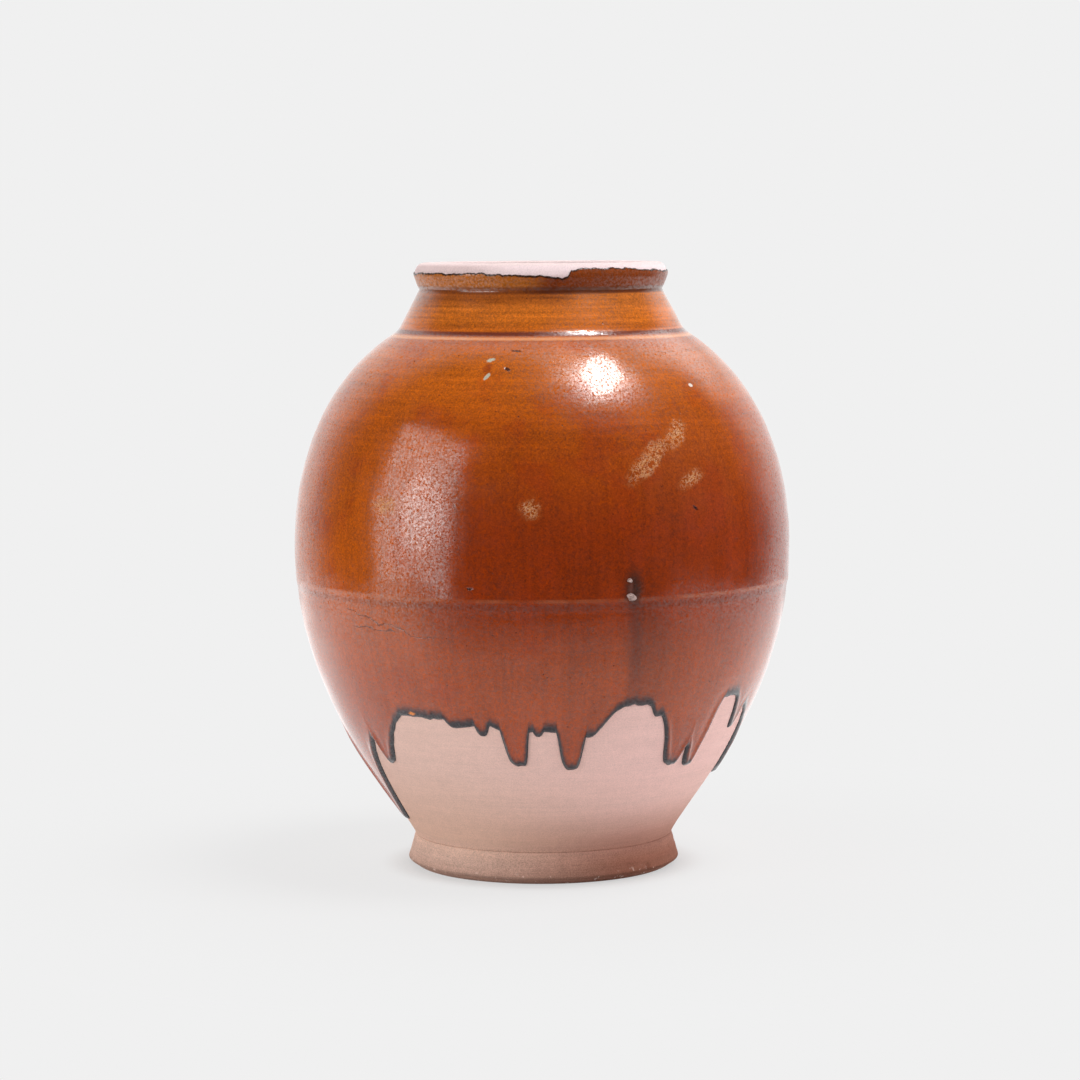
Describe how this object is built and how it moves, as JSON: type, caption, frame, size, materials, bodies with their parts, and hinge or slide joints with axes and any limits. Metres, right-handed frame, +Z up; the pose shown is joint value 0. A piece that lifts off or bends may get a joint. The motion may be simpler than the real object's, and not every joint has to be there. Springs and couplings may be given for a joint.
{
  "type": "storage jar",
  "caption": "Wheel-thrown egg-shaped earthenware storage jar with splayed foot, short conical neck, rolled rim and an amber-brown poured glaze that ran in drips over the bare clay",
  "frame": {"origin": "centre of the foot's contact ring, on the table", "axes": "+Z up along the axis of revolution; -Y faces the viewer of the picture, +X is to the right"},
  "size_m": [0.2466, 0.2466, 0.3],
  "materials": {
    "bare_clay": "matte pink-buff earthenware with fine turning lines",
    "rim_clay": "wiped pale pink clay with a thin scuffed slip",
    "amber_glaze": "glossy amber to red-brown lead-type glaze, blue-black along its lower edge",
    "lining_glaze": "glossy brown lining glaze",
    "grit": "rough pale grain fused into the glaze"
  },
  "bodies": {
    "root": {"foot_ring": "bare_clay", "base_slab": "bare_clay", "lower_bowl": "bare_clay", "belly_seam": "bare_clay", "upper_bowl": "bare_clay", "neck_fillet": "bare_clay", "neck_collar": "bare_clay", "mouth_rim": "rim_clay", "outer_glaze": "amber_glaze", "inner_glaze": "lining_glaze", "kiln_grit": "grit"}
  },
  "joints": []
}
